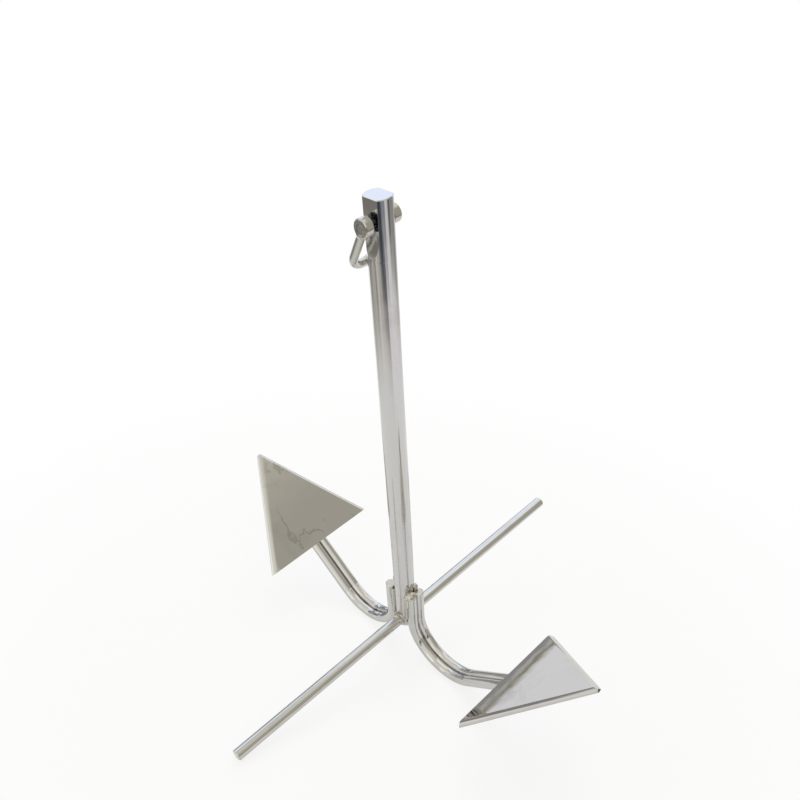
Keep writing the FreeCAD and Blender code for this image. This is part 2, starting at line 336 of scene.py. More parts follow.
# A rod: circles along its centre line, with a chamfer at the cut top. Its grain comes from the same
# circles along a straight line as long.
def makeRod(arm, side, name, row):
    path, inward, bent = rodPath(side, row)
    path = np.concatenate([path[:1], path])
    path[1, 2] -= armRod["chamfer"]
    inward = np.concatenate([inward[:1], inward])
    radii = np.full(len(path), armRod["radius"])
    radii[0] -= armRod["chamfer"]
    mesh = standingMesh(name, [tube(path, inward, alongY, radii)])
    straight = np.zeros_like(path)
    straight[1:, 2] = np.cumsum(np.linalg.norm(np.diff(path, axis=0), axis=1))
    grain = tube(straight, alongX, alongY, radii)
    setGrain(mesh, *grain.reshape(-1, 3).T)
    setBent(mesh, np.repeat(np.concatenate([[0.0], bent]), grain.shape[1]))
    cleanMesh(mesh)
    pieceName = f"{arm}{name.capitalize()}Rod"
    return addPiece(pieceName, mesh, f"{arm}_arm_{name}_rod", "anchor")


# From the fluke's frame (X to the tip, Z off its face) to the anchor's own, for either arm.
def toArm(points, side):
    x, y, z = np.moveaxis(np.asarray(points, float), -1, 0)
    out = flukePlate["reach"] + math.cos(slope) * x - math.sin(slope) * z
    up = flukeRise + math.sin(slope) * x + math.cos(slope) * z
    return np.stack([side * out, side * y, up], axis=-1)


# Half a fluke. Its section runs over the face, round the fold, down the lip and back underneath.
# Each point of the section draws a line along the long edge, from the base plane to the middle
# plane or the blunt tip, whichever it meets first. A quarter circle rounds the lip's base corner.
def halfFluke(side):
    plate = flukePlate
    taper = math.atan2(plate["base"] / 2, plate["length"])
    fold = plate["foldAngle"]
    thick, inner = plate["thickness"], plate["foldInnerRadius"]
    outer = inner + thick
    edgeLength = math.hypot(plate["base"] / 2, plate["length"])
    along = np.array([math.cos(taper), -side * math.sin(taper), 0.0])
    outward = np.array([math.sin(taper), side * math.cos(taper), 0.0])
    cornerY = plate["base"] / 2 - plate["foldInset"] / math.cos(taper)
    middleOut = -cornerY * math.cos(taper)
    baseWidth, tipWidth = plate["foldWidthBase"], plate["foldWidthTip"]
    corner = plate["lipCorner"]
    soft = plate["edgeSoftness"]
    bend = outer + plate["foldSoftness"]
    sooner = plate["foldSoftness"] * math.tan(fold / 2)

    # The section's rows hold the distance out, the height, the share of the fold's flat part, and
    # a small shift down and across the fold that rounds its edges. The rounder outside starts
    # sooner on the face, and ends as much later on the lip.
    face = np.linspace(middleOut, -sooner, plate["faceRows"])
    under = np.linspace(middleOut, 0.0, plate["faceRows"])
    arcOut = np.linspace(0.0, fold, plate["outsideRows"] + 1)[1:]
    arcIn = np.linspace(fold, 0.0, plate["insideRows"])
    edge = np.linspace(0.0, math.pi / 2, plate["edgeRows"])
    widths = np.array([0.25, 0.5, 0.75, 0.92])
    outEnd = (bend * math.sin(fold) - sooner, bend * math.cos(fold) - bend)
    inEnd = (inner * math.sin(fold), inner * math.cos(fold) - outer)
    rows = [(out, 0.0, 0.0, 0.0, 0.0) for out in face]
    rows += [(bend * math.sin(a) - sooner, bend * math.cos(a) - bend, 0.0, 0.0, 0.0) for a in arcOut]
    rows += [(*outEnd, w, -sooner * w, 0.0) for w in widths]
    rows += [(*outEnd, 1.0, soft * (math.sin(a) - 1.0) - sooner, soft * (math.cos(a) - 1.0)) for a in edge]
    rows += [(*inEnd, 1.0, soft * (math.cos(a) - 1.0), soft * (1.0 - math.sin(a))) for a in edge]
    rows += [(*inEnd, w, 0.0, 0.0) for w in widths[::-1]]
    rows += [(inner * math.sin(a), inner * math.cos(a) - outer, 0.0, 0.0, 0.0) for a in arcIn]
    rows += [(out, -thick, 0.0, 0.0, 0.0) for out in under[::-1][1:]]
    out0, height0, share, nudgeDown, nudgeOver = (column[:, None] for column in np.array(rows, float).T)
    downEdge = np.array([math.cos(fold), -math.sin(fold)])
    square = np.array([-math.sin(fold), -math.cos(fold)])
    run = np.linspace(0.0, 1.0, plate["columns"])[None, :]
    distance = run * edgeLength

    # The fold's width depends on the place along the edge, and where a line starts and ends on the
    # width, so the two are worked out by turns until they agree.
    for _ in range(6):
        width = baseWidth + (tipWidth - baseWidth) * distance / edgeLength
        down = share * width + nudgeDown
        out = out0 + downEdge[0] * down + square[0] * nudgeOver
        height = height0 + downEdge[1] * down + square[1] * nudgeOver
        lipGap = np.where(share > 0, np.clip(corner - (width - down), 0.0, None), 0.0)
        cornerCut = corner - np.sqrt(np.clip(corner ** 2 - lipGap ** 2, 0.0, None))
        start = (cornerCut - outward[0] * out) / along[0]
        toMiddle = (cornerY + abs(outward[1]) * out) / math.sin(taper)
        toTip = (plate["length"] - outward[0] * out) / along[0]
        end = np.minimum(toMiddle, toTip)
        distance = start + run * (end - start)
    base = np.array([0.0, side * cornerY, 0.0])
    points = base + distance[..., None] * along + out[..., None] * outward
    points[..., 2] += height

    # What ends on the middle plane is put exactly on it, so that the two halves close.
    points[..., 1] = np.where(np.abs(points[..., 1]) < 1e-6, 0.0, points[..., 1])
    return points


# A fluke: two mirrored halves joined on the middle line, the base and the blunt tip filled in.
def makeFluke(arm, side):
    points, faces, first = [], [], 0
    for half in (1, -1):
        grid = toArm(halfFluke(half), side)
        rows, columns = grid.shape[:2]
        place = first + np.arange(rows * columns).reshape(rows, columns)
        quads = np.stack([place[:-1, :-1], place[:-1, 1:], place[1:, 1:], place[1:, :-1]], axis=-1)
        faces += quads.reshape(-1, 4).tolist()
        points.append(grid.reshape(-1, 3))
        first += rows * columns
    mesh = bpy.data.meshes.new(arm + "Fluke")
    mesh.from_pydata(standUp(np.concatenate(points)).tolist(), [], faces)
    cleanMesh(mesh, fill=True)
    return addPiece(arm + "Fluke", mesh, arm + "_fluke", "anchor")


welds = {
    "bead": 3.5,            # radius of a straight bead
    "bite": 1.5,            # how deep it lies in each bar
    "stockBead": 3.0,       # radius of the rings round the stock
    "stockSink": 0.35,      # the share of it by which they lie in the shank
    "stockRipples": 26,
    "armMargin": 5.0,       # from the end of an arm's bead to the rods' tops
    "ripplePitch": 2.6,     # from one frozen ripple to the next
    "rippleDepth": 0.07,    # as a share of the bead's radius
    "lumpWaves": 2,
    "capRadius": 9.2,       # the heap over the near arm's front rod
    "capShift": 1.5,
    "capUnevenness": 0.05,
    "moundRadius": 6.0,     # the heap beside it, on the shank
    "moundRise": 5.0,
    "moundTurn": math.radians(32.0),
    "moundUnevenness": 0.1,
    "blob": (-1.0, -19.5, 9.0),     # where the stock's front weld ended
    "blobRadius": 6.0,
    "blobUnevenness": 0.15,
    "beadPoints": 40,       # round a bead
    "endRings": 10,         # over a bead's round end
    "rippleRings": 8,       # in each ripple of a straight bead
    "lumpRings": 41,        # from pole to pole of a lump, and points round it
    "lumpPoints": 64,
    "stockRings": 289,      # round the stock
}


# Radii of a weld bead: a capsule's round ends, and a rectified sine for the frozen ripples.
def beadRadii(along, length, radius):
    ends = np.clip(np.minimum(along, length - along) / radius, 0.0, 1.0)
    capsule = np.sqrt(np.clip(1.0 - (1.0 - ends) ** 2, 0.0, 1.0))
    ripple = np.abs(np.sin(math.pi * along / welds["ripplePitch"]))
    return radius * capsule * (1.0 - welds["rippleDepth"] * (1.0 - ripple))


# A straight weld bead between two points.
def straightBead(start, end, radius):
    start, end = np.asarray(start, float), np.asarray(end, float)
    length = np.linalg.norm(end - start)
    ends = radius * (1.0 - np.cos(np.linspace(0.0, math.pi / 2, welds["endRings"])))
    middle = np.arange(radius, length - radius, welds["ripplePitch"] / welds["rippleRings"])
    along = np.concatenate([ends, middle[1:], (length - ends)[::-1]])
    radii = beadRadii(along, length, radius)
    return turned(start, (end - start) / length, along, radii, welds["beadPoints"])


# A lump of weld: a sphere whose radius swells and sinks in a few slow waves.
def lump(centre, radius, unevenness):
    polar = np.linspace(0.0, math.pi, welds["lumpRings"])[:, None]
    around = np.linspace(0.0, 2 * math.pi, welds["lumpPoints"], endpoint=False)[None, :]
    wave = np.sin(welds["lumpWaves"] * around + 2.0 * np.cos(2 * polar)) * np.sin(polar)
    swell = 1.0 - unevenness * (1.0 + wave) / 2
    x = np.sin(polar) * np.cos(around)
    y = np.sin(polar) * np.sin(around)
    z = np.cos(polar) * np.ones_like(around)
    return np.asarray(centre, float) + radius * swell[..., None] * np.stack([x, y, z], axis=-1)


# Where two circles cross, on the side that pick names.
def crossing(radius1, centre2, radius2, pick):
    gap = math.hypot(*centre2)
    along = (radius1 ** 2 - radius2 ** 2 + gap ** 2) / (2 * gap)
    across = math.sqrt(radius1 ** 2 - along ** 2)
    x = (along * centre2[0] - pick * across * centre2[1]) / gap
    y = (along * centre2[1] + pick * across * centre2[0]) / gap
    return x, y


# The arm's weld: a bead down each outer corner, and on the near arm two heaps, one over its front
# rod's top and one on the shank beside it.
def makeArmWeld(arm, side):
    reach = welds["bead"] - welds["bite"]
    grids = []
    for row in (-1, 1):
        rod = (side * rodX, row * armRod["side"])
        x, y = crossing(shankBar["radius"] + reach, rod, armRod["radius"] + reach, side * row)
        top = armRod["top"] - welds["armMargin"]
        grids.append(straightBead((x, y, armRod["bendRise"]), (x, y, top), welds["bead"]))
    if arm == "near":
        cap = (side * (rodX - welds["capShift"]), -armRod["side"], armRod["top"])
        grids.append(lump(cap, welds["capRadius"], welds["capUnevenness"]))
        x = side * shankBar["radius"] * math.cos(welds["moundTurn"])
        y = shankBar["radius"] * math.sin(welds["moundTurn"])
        mound = (x, y, armRod["top"] + welds["moundRise"])
        grids.append(lump(mound, welds["moundRadius"], welds["moundUnevenness"]))
    mesh = standingMesh(arm + "ArmWeld", grids)
    cleanMesh(mesh)
    return addPiece(arm + "ArmWeld", mesh, arm + "_arm_weld", "anchor", sharpAngle=60.0)


# The weld under a fluke: a bead along the outer side of each rod.
def makeFlukeWeld(arm, side):
    reach = welds["bead"] - welds["bite"]
    height = -flukePlate["thickness"] - reach
    drop = armRod["depth"] + height
    away = armRod["side"] + math.sqrt((armRod["radius"] + reach) ** 2 - drop ** 2)
    grids = []
    for row in (-1, 1):
        start = toArm((0.0, row * away, height), side)
        end = toArm((armRod["underFluke"], row * away, height), side)
        grids.append(straightBead(start, end, welds["bead"]))
    mesh = standingMesh(arm + "FlukeWeld", grids)
    cleanMesh(mesh)
    return addPiece(arm + "FlukeWeld", mesh, arm + "_fluke_weld", "anchor", sharpAngle=60.0)


# The rings round the stock: a circle carried round it that follows the shank's curved side, and a
# lump where the front one ended.
def makeStockWeld():
    radius = stockBar["radius"] + welds["stockBead"] / 2
    around = np.linspace(0.0, 2 * math.pi, welds["stockRings"])
    grids = []
    for side in (-1, 1):
        x, z = radius * np.cos(around), radius * np.sin(around)
        y = side * (np.sqrt(shankBar["radius"] ** 2 - x ** 2) - welds["stockBead"] * welds["stockSink"])
        ripple = np.abs(np.sin(welds["stockRipples"] / 2 * around))
        ring = welds["stockBead"] * (1.0 - welds["rippleDepth"] * (1.0 - ripple))
        outward = np.stack([np.cos(around), np.zeros_like(around), np.sin(around)], axis=-1)
        path = np.stack([x, y, z], axis=-1)
        grids.append(tube(path, outward, alongY, ring, welds["beadPoints"]))
    mesh = standingMesh("stockWeld", grids, looped=True)
    cleanMesh(mesh)
    blob = standingMesh("blob", [lump(welds["blob"], welds["blobRadius"], welds["blobUnevenness"])])
    cleanMesh(blob)
    joined = bmesh.new()
    joined.from_mesh(mesh)
    joined.from_mesh(blob)
    joined.to_mesh(mesh)
    joined.free()
    bpy.data.meshes.remove(blob)
    return addPiece("stockWeld", mesh, "stock_weld", "anchor", sharpAngle=60.0)


shackle = {
    "barRadius": 5.0,
    "leg": 41.0,
    "spread": 40.0,
    "eyeRadius": 10.5,
    "eyeThickness": 11.0,
    "eyeEdge": 1.7,         # rounding of the eyes' rims
    "pinRadius": 5.0,
    "pinBore": 5.05,
    "pinChamfer": 0.5,
    "slide": -2.2,          # the shackle has slid this far along its pin
    "restAngle": math.radians(27.667),
    "blend": 3.0,           # how softly the legs run into the eyes
    "voxel": 0.42,          # how fine the rough bow is, before it is drawn to its true surface
    "shadeStart": 0.3,       # the shade painted in the joint starts to fade this far past the eyes' inner faces, and is gone this far past them and it fades over this distance past the eyes' rims
    "shadeEnd": 1.2,         # faces, and is gone this far past them
    "shadeRim": 1.0,         # and it fades over this distance past the eyes' rims
    "legRings": 19,         # of the rough bow: down a leg, round the bend, round the bar and an eye
    "bendRings": 60,
    "barPoints": 48,
    "eyePoints": 64,
    "borePoints": 96,
}


# From the shackle's frame (hanging straight down from its pin) to the anchor's own.
def toShackle(points):
    x, y, z = np.moveaxis(np.asarray(points, float), -1, 0)
    angle = shackle["restAngle"]
    swungX = math.cos(angle) * x + math.sin(angle) * z
    swungZ = -math.sin(angle) * x + math.cos(angle) * z
    return np.stack([swungX, y + shackle["slide"], swungZ + pinHeight], axis=-1)


# How far a point lies outside the bow: the U's distance and each rounded eye's, run together
# by a smooth minimum, so that the forging's legs blend into its eyes. The eyes' inner faces stay
# flat, because the shank's flats lie close to them.
def bowDistance(points):
    x, y, z = np.moveaxis(points, -1, 0)
    half = shackle["spread"] / 2
    legZ = np.clip(z, -shackle["leg"], 0.0)
    legs = np.sqrt(x ** 2 + (np.abs(y) - half) ** 2 + (z - legZ) ** 2)
    arc = np.sqrt(x ** 2 + (np.hypot(y, z + shackle["leg"]) - half) ** 2)
    bar = np.where(z > -shackle["leg"], legs, arc) - shackle["barRadius"]
    edge = shackle["eyeEdge"]
    radial = np.hypot(x, z) - shackle["eyeRadius"] + edge
    axial = np.abs(np.abs(y) - half) - shackle["eyeThickness"] / 2 + edge
    pastRim = np.hypot(np.maximum(radial, 0.0), np.maximum(axial, 0.0))
    eye = np.minimum(np.maximum(radial, axial), 0.0) + pastRim - edge
    near = np.clip(1.0 - np.abs(bar - eye) / shackle["blend"], 0.0, 1.0)
    blended = np.minimum(bar, eye) - near ** 2 * shackle["blend"] / 4
    innerFace = half - shackle["eyeThickness"] / 2 - np.abs(y)
    return np.where(z > -shackle["leg"], np.maximum(blended, innerFace), blended)


# The bow: a rough join of bar and eyes is remeshed, and each point then slides down the distance
# to the true surface. The pin's bore is cut last.
def makeBow():
    half = shackle["spread"] / 2
    arc = np.linspace(0.0, math.pi, shackle["bendRings"])
    legs = np.linspace(0.0, -shackle["leg"], shackle["legRings"] + 1)[:-1]
    y = np.concatenate([np.full(len(legs), -half), -half * np.cos(arc), np.full(len(legs), half)])
    z = np.concatenate([legs, -shackle["leg"] - half * np.sin(arc), legs[::-1]])
    path = np.stack([np.zeros_like(y), y, z], axis=-1)
    ahead = np.gradient(path, axis=0)
    ahead /= np.linalg.norm(ahead, axis=1)[:, None]
    radii = np.full(len(path), shackle["barRadius"])
    grids = [tube(path, alongX, np.cross(ahead, alongX), radii, shackle["barPoints"])]
    thickness, radius = shackle["eyeThickness"], shackle["eyeRadius"]
    for centre in (-half, half):
        start = (0.0, centre - thickness / 2, 0.0)
        grids.append(turned(start, alongY, (0.0, thickness), (radius, radius), shackle["eyePoints"]))
    rough = ringMesh("roughBow", grids)
    cleanMesh(rough)
    blank = addObject("roughBow", rough)
    remesh = blank.modifiers.new("remesh", "REMESH")
    remesh.mode = "VOXEL"
    remesh.voxel_size = shackle["voxel"]
    mesh = bpy.data.meshes.new_from_object(blank.evaluated_get(bpy.context.evaluated_depsgraph_get()))
    bpy.data.objects.remove(blank)
    place = meshPoints(mesh)
    step = 0.01
    for _ in range(8):
        away = bowDistance(place)
        slopes = [bowDistance(place + step * axis) - bowDistance(place - step * axis) for axis in np.eye(3)]
        slopes = np.stack(slopes, axis=-1) / (2 * step)
        slopes /= np.maximum(np.linalg.norm(slopes, axis=1), 1e-6)[:, None]
        place = place - away[:, None] * slopes
    mesh.vertices.foreach_set("co", standUp(toShackle(place)).ravel())
    mesh.update()
    cleanMesh(mesh)
    width = shackle["spread"] + 2 * thickness
    radii = (shackle["pinBore"], shackle["pinBore"])
    bore = turned((0, -width / 2, 0), alongY, (0.0, width), radii, shackle["borePoints"])
    mesh = cutBores(mesh, [toShackle(bore)])
    mesh.name = "shackleBow"
    return addPiece("shackleBow", mesh, "shackle_bow", "shackle", sharpAngle=35.0)


# The pin: a turned bar flush with the outer faces of the eyes.
def makePin():
    width = shackle["spread"] + shackle["eyeThickness"]
    chamfer = shackle["pinChamfer"]
    stations = (0.0, chamfer, width - chamfer, width)
    radii = np.array([-chamfer, 0.0, 0.0, -chamfer]) + shackle["pinRadius"]
    grid = turned((0, -width / 2, 0), alongY, stations, radii)
    mesh = standingMesh("shacklePin", [toShackle(grid)])
    cleanMesh(mesh)
    return addPiece("shacklePin", mesh, "shackle_pin", "shackle")


pieces = {"polished_bar": [makeShank(), makeStock()], "polished_plate": [], "weld_bead": [makeStockWeld()]}
print("shank and stock made")
for arm, side in (("near", 1), ("far", -1)):
    for name, row in (("front", -1), ("back", 1)):
        pieces["polished_bar"].append(makeRod(arm, side, name, row))
    pieces["polished_plate"].append(makeFluke(arm, side))
    pieces["weld_bead"].append(makeArmWeld(arm, side))
    pieces["weld_bead"].append(makeFlukeWeld(arm, side))
print("arms, flukes and welds made")
pieces["polished_forging"] = [makeBow()]
pieces["ground_pin"] = [makePin()]
print("shackle made")


# A number in a shader tree. Python sums written with it add the Math nodes that work them out.
class Level:
    def __init__(self, tree, socket):
        self.tree = tree
        self.socket = socket

    def join(self, operation, first, second=0.0):
        made = self.tree.add("ShaderNodeMath", {"operation": operation}, {0: first, 1: second})
        return Level(self.tree, made.outputs[0])

    def __add__(self, other):
        return self.join("ADD", self, other)

    def __radd__(self, other):
        return self.join("ADD", other, self)

    def __sub__(self, other):
        return self.join("SUBTRACT", self, other)

    def __rsub__(self, other):
        return self.join("SUBTRACT", other, self)

    def __mul__(self, other):
        return self.join("MULTIPLY", self, other)

    def __rmul__(self, other):
        return self.join("MULTIPLY", other, self)

    def __truediv__(self, other):
        return self.join("DIVIDE", self, other)

    def above(self, low, high):
        wide = self.tree.add("ShaderNodeMapRange", {"interpolation_type": "SMOOTHSTEP"},
                             {"Value": self, "From Min": low, "From Max": high})
        return Level(self.tree, wide.outputs["Result"])

    def root(self):
        return self.join("SQRT", self)

    def size(self):
        return self.join("ABSOLUTE", self)

    def larger(self, other):
        return self.join("MAXIMUM", self, other)

    def smaller(self, other):
        return self.join("MINIMUM", self, other)


# One material's or the world's nodes.
class Tree:
    def __init__(self, owner):
        owner.use_nodes = True
        self.nodes = owner.node_tree.nodes
        self.links = owner.node_tree.links
        self.nodes.clear()

    # Adds a node: its settings first, then a value or a link for each named or numbered socket.
    def add(self, kind, settings=None, sockets=None):
        made = self.nodes.new(kind)
        for name, value in (settings or {}).items():
            setattr(made, name, value)
        for name, value in (sockets or {}).items():
            self.feed(made.inputs[name], value)
        return made

    def feed(self, socket, value):
        if isinstance(value, Level):
            self.links.new(value.socket, socket)
        elif isinstance(value, bpy.types.NodeSocket):
            self.links.new(value, socket)
        elif isinstance(value, tuple) and socket.type == "RGBA":
            socket.default_value = (*value, 1.0)
        else:
            socket.default_value = value

    def level(self, socket):
        return Level(self, socket)

    def noise(self, vector, scale, detail, roughness=0.5, distortion=0.0):
        made = self.add("ShaderNodeTexNoise", None, {
            "Vector": vector, "Scale": scale, "Detail": detail,
            "Roughness": roughness, "Distortion": distortion})
        return self.level(made.outputs["Fac"])

    # Vector maths that gives a vector, and vector maths that gives a number.
    def vector(self, operation, *values):
        made = self.add("ShaderNodeVectorMath", {"operation": operation}, dict(enumerate(values)))
        return made.outputs["Vector"]

    def measure(self, operation, *values):
        made = self.add("ShaderNodeVectorMath", {"operation": operation}, dict(enumerate(values)))
        return self.level(made.outputs["Value"])

    # Between two colours, which have sockets 6 and 7 of a Mix node and its output 2 to themselves,
    # and between two shaders.
    def blend(self, amount, first, second):
        made = self.add("ShaderNodeMix", {"data_type": "RGBA"}, {"Factor": amount, 6: first, 7: second})
        return made.outputs[2]

    def mix(self, amount, first, second):
        sockets = {"Fac": amount, 1: first.outputs[0], 2: second.outputs[0]}
        return self.add("ShaderNodeMixShader", None, sockets)


# The metal's colour and its colour in dull patches, its roughness, and how much shows of the
# patches and of the veins. Wave, streak and ripple are the depths (m) of the slow waves, of the
# lengthwise streaks and of the ripples in a bend. Shift (m) moves the patterns on the plates. On
# the near arm's side the veins lose the share nearFade, which comes in gradually within
# nearFadeHalf (m) of the shank's middle. The last colour is painted shade inside the shackle's joint.
finishes = {
    "polished_bar": {
        "colour": (0.63, 0.62, 0.61), "dull": (0.50, 0.49, 0.48), "roughness": 0.07,
        "patches": 0.4, "wave": 0.0006, "streak": 0.0006, "ripple": 0.0100},
    "polished_plate": {
        "colour": (0.63, 0.62, 0.60), "dull": (0.42, 0.41, 0.38), "roughness": 0.05,
        "patches": 0.25, "wave": 0.0005,
        "veins": 0.7, "shift": (0.37, 0.21, 0.13), "nearFade": 0.85, "nearFadeHalf": 0.05},
    "polished_forging": {
        "colour": (0.56, 0.55, 0.51), "dull": (0.42, 0.40, 0.36), "roughness": 0.19,
        "patches": 0.6, "wave": 0.0007, "jointShade": (0.09, 0.09, 0.09)},
    "ground_pin": {
        "colour": (0.48, 0.48, 0.46), "dull": (0.36, 0.36, 0.35), "roughness": 0.30,
        "patches": 0.6, "wave": 0.0002, "jointShade": (0.09, 0.09, 0.09)},
    "weld_bead": {
        "colour": (0.56, 0.54, 0.48), "dull": (0.34, 0.31, 0.27), "roughness": 0.20,
        "patches": 0.6, "wave": 0.0005},
}

# The noise behind each mark: its scale (per metre) and detail, then its roughness and distortion.
patterns = {
    "patches": (14.0, 4.0, 0.6, 0.6),
    "veins": (10.0, 4.0, 0.6, 0.2),
    "veinAreas": (13.0, 1.0),
    "wave": (26.0, 1.0, 0.4),
    "ripple": (38.0, 1.0, 0.4),
    "streaks": (170.0, 3.0, 0.6),
    "scratches": (1300.0, 2.0, 0.6),
}

# The values of the noise at which a mark starts to show and shows in full. For veins they are the
# distances from the noise's middle value up to which one is whole, and past which it is gone.
limits = {
    "patches": (0.52, 0.72),
    "veins": (0.003, 0.024),
    "veinAreas": (0.46, 0.60),
    "scratches": (0.60, 0.75),
}
polish = {
    "grainStretch": 0.015,      # how fast streaks and scratches change along a bar, against across it
    "patchRoughness": 0.05,     # what patches add to the roughness, and what scratches add
    "scratchRoughness": 0.04,
    "scratchDullness": 0.3,     # how much of the dull colour shows in a scratch
    "bump": 0.5,
}


# One where shade is painted inside the shackle's joint, since the eyes hide the metal there: between
# the inner faces of its eyes, and no farther than an eye's radius from the pin's axis.
def jointShadeMask(tree, place):
    centre = tuple(standUp((0.0, shackle["slide"], pinHeight)).tolist())
    axis = tuple(alongStock.tolist())
    offset = tree.vector("SUBTRACT", place, centre)
    along = tree.measure("DOT_PRODUCT", offset, axis).size()
    away = tree.measure("LENGTH", tree.vector("CROSS_PRODUCT", offset, axis))
    face = (shackle["spread"] - shackle["eyeThickness"]) / 2
    rim = shackle["eyeRadius"]
    between = 1.0 - along.above((face + shackle["shadeStart"]) * mm, (face + shackle["shadeEnd"]) * mm)
    near = 1.0 - away.above(rim * mm, (rim + shackle["shadeRim"]) * mm)
    return between * near


# Polished stainless: smooth metal with faint dull patches and a slow hand-polished waviness. Bars
# also have lengthwise streaks, scratches, and ripples in their bends. Plates have thin wandering
# veins. The patterns lie in the anchor's own frame, so places are turned back by the lean first.
def steel(slotName):
    finish = finishes[slotName]
    material = bpy.data.materials.new(slotName)
    tree = Tree(material)
    place = tree.add("ShaderNodeTexCoord").outputs["Object"]
    own = tree.add("ShaderNodeMapping", None, {
        "Vector": place, "Rotation": (-lean, 0.0, 0.0), "Location": finish.get("shift", (0.0, 0.0, 0.0))})
    own = own.outputs["Vector"]
    patches = tree.noise(own, *patterns["patches"]).above(*limits["patches"])
    marks = patches * finish["patches"]
    if "veins" in finish:
        vein = 1.0 - (tree.noise(own, *patterns["veins"]) - 0.5).size().above(*limits["veins"])
        where = tree.noise(own, *patterns["veinAreas"]).above(*limits["veinAreas"])
        side = tree.level(tree.add("ShaderNodeSeparateXYZ", None, {"Vector": place}).outputs["X"])
        nearSide = side.above(-finish["nearFadeHalf"], finish["nearFadeHalf"])
        marks = marks.larger(vein * where * (1.0 - nearSide * finish["nearFade"]) * finish["veins"])
    height = tree.noise(own, *patterns["wave"]) * finish["wave"]
    roughness = finish["roughness"] + patches * polish["patchRoughness"]
    if "streak" in finish:
        grain = tree.add("ShaderNodeAttribute", {"attribute_name": "grain"}).outputs["Vector"]
        lines = tree.vector("MULTIPLY", grain, (1.0, 1.0, polish["grainStretch"]))
        height = height + tree.noise(lines, *patterns["streaks"]) * finish["streak"]
        bent = tree.level(tree.add("ShaderNodeAttribute", {"attribute_name": "bent"}).outputs["Fac"])
        height = height + tree.noise(own, *patterns["ripple"]) * bent * finish["ripple"]
        scratches = tree.noise(lines, *patterns["scratches"])
        roughness = roughness + scratches * polish["scratchRoughness"]
        marks = marks.larger(scratches.above(*limits["scratches"]) * polish["scratchDullness"])
    colour = tree.blend(marks, finish["colour"], finish["dull"])
    # Painted shade: the pin and the eyes turn near black inside the joint, where the eyes hide them.
    if "jointShade" in finish:
        colour = tree.blend(jointShadeMask(tree, place), colour, finish["jointShade"])
    bump = tree.add("ShaderNodeBump", None, {"Height": height, "Distance": 1.0, "Strength": polish["bump"]})
    shader = tree.add("ShaderNodeBsdfPrincipled", None, {
        "Base Color": colour, "Metallic": 1.0, "Roughness": roughness, "Normal": bump.outputs["Normal"]})
    tree.add("ShaderNodeOutputMaterial", None, {"Surface": shader.outputs["BSDF"]})
    return material


for slotName, group in pieces.items():
    material = steel(slotName)
    for piece in group:
        piece.data.materials.clear()
        piece.data.materials.append(material)
print("finishes made")

studio = {
    "floorSize": 60.0,
    "floorColour": (0.86, 0.86, 0.86),
    "floorGlow": 0.80,      # the share of plain white that the camera sees in the floor near the
    "mirrorGlow": 0.35,     # anchor, and the share that the metal sees
    "whiteFrom": 0.45,      # from here on out (m) the floor turns to plain white,
    "whiteBy": 1.10,        # and is that by here
    "mirrorFrom": 0.50,     # from here on out the metal sees the room through the floor,
    "mirrorBy": 0.95,       # and by here nothing else
}


# A diffuse floor that keeps the shadow. Over it the camera and the metal see plain white, which
# grows with the distance. The metal sees less of that white near the anchor, and farther out it
# sees the room in place of the floor.
def makeFloor():
    half = studio["floorSize"] / 2
    corners = [(-half, -half, 0), (half, -half, 0), (half, half, 0), (-half, half, 0)]
    mesh = bpy.data.meshes.new("floor")
    mesh.from_pydata(corners, [], [(0, 1, 2, 3)])
    floor = addObject("floor", mesh)
    material = bpy.data.materials.new("floor")
    tree = Tree(material)
    away = tree.measure("LENGTH", tree.add("ShaderNodeTexCoord").outputs["Object"])
    path = tree.add("ShaderNodeLightPath")
    glossy = tree.level(path.outputs["Is Glossy Ray"])
    mirrored = glossy.larger(tree.level(path.outputs["Is Transmission Ray"]))
    seen = tree.level(path.outputs["Is Camera Ray"]).larger(mirrored)
    near = studio["floorGlow"] - mirrored * (studio["floorGlow"] - studio["mirrorGlow"])
    plain = near + away.above(studio["whiteFrom"], studio["whiteBy"]) * (1.0 - near)
    diffuse = tree.add("ShaderNodeBsdfDiffuse", None, {"Color": studio["floorColour"]})
    glow = tree.add("ShaderNodeEmission", None, {"Color": (1.0, 1.0, 1.0), "Strength": 1.0})
    through = tree.add("ShaderNodeBsdfTransparent")
    gone = mirrored * away.above(studio["mirrorFrom"], studio["mirrorBy"])
    whole = tree.mix(gone, tree.mix(seen * plain, diffuse, glow), through)
    tree.add("ShaderNodeOutputMaterial", None, {"Surface": whole.outputs[0]})
    mesh.materials.append(material)


room = {
    "light": (0.95, 0.93, 0.87),    # where no patch lies
    "waviness": 0.10,               # how far the edges of the patches stray
    "waveScale": 2.6,
}

